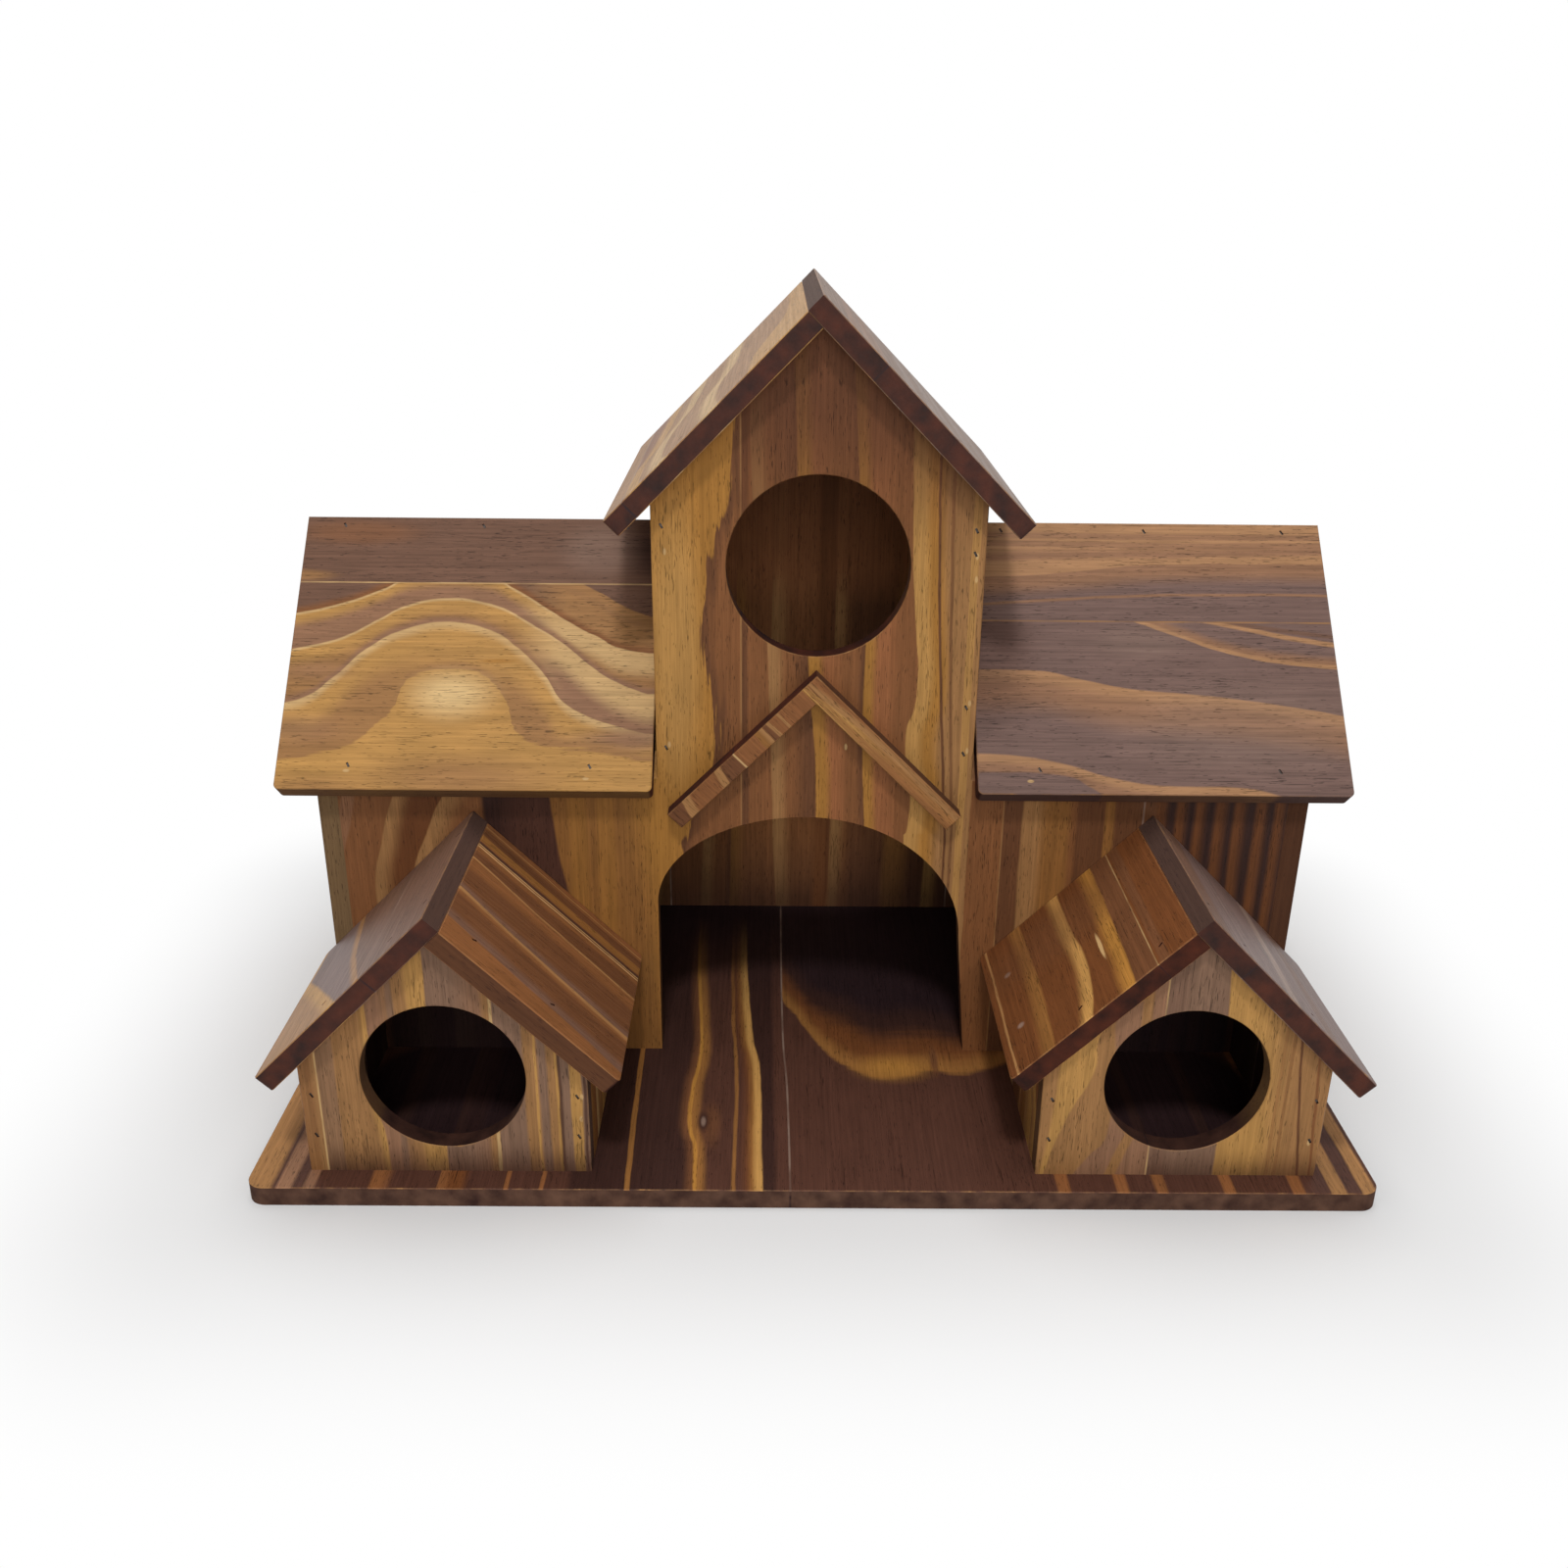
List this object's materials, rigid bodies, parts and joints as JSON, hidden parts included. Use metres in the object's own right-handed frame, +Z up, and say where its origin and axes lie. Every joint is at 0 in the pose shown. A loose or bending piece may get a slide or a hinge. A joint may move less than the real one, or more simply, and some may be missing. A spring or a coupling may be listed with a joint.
{
  "type": "birdhouse",
  "caption": "Free-standing wooden birdhouse: a wide gabled house with a central tower, arched doorway and porch peak, and a small gabled hut at each front corner of a rounded base board.",
  "frame": {"origin": "middle of the base board's underside", "axes": "+Z up, -Y towards the front with the doorway, +X to the right seen from the front"},
  "size_m": [0.48, 0.28, 0.3604],
  "materials": {
    "base_wood": "carbonised pine, varnished, grain front to back",
    "house_wall_wood": "carbonised pine, varnished, upright grain",
    "hut_wall_wood": "carbonised pine, varnished, upright grain",
    "roof_wood": "carbonised pine, varnished",
    "trim_wood": "carbonised pine, varnished",
    "brad_steel": "dull wire"
  },
  "bodies": {
    "root": {"back_wall": "house_wall_wood", "base_board": "base_wood", "base_brads": "brad_steel", "end_wall_brads": "brad_steel", "front_wall": "house_wall_wood", "left_end_wall": "house_wall_wood", "left_hut_brads": "brad_steel", "left_hut_front": "hut_wall_wood", "left_hut_inner_roof": "roof_wood", "left_hut_inner_side": "hut_wall_wood", "left_hut_outer_roof": "roof_wood", "left_hut_outer_side": "hut_wall_wood", "left_porch_strip": "trim_wood", "left_tower_roof": "roof_wood", "left_tower_side": "house_wall_wood", "left_wing_front_roof": "roof_wood", "left_wing_rear_roof": "roof_wood", "right_end_wall": "house_wall_wood", "right_hut_brads": "brad_steel", "right_hut_front": "hut_wall_wood", "right_hut_inner_roof": "roof_wood", "right_hut_inner_side": "hut_wall_wood", "right_hut_outer_roof": "roof_wood", "right_hut_outer_side": "hut_wall_wood", "right_porch_strip": "trim_wood", "right_tower_roof": "roof_wood", "right_tower_side": "house_wall_wood", "right_wing_front_roof": "roof_wood", "right_wing_rear_roof": "roof_wood", "tower_brads": "brad_steel", "tower_roof_brads": "brad_steel", "wing_roof_brads": "brad_steel"}
  },
  "joints": []
}
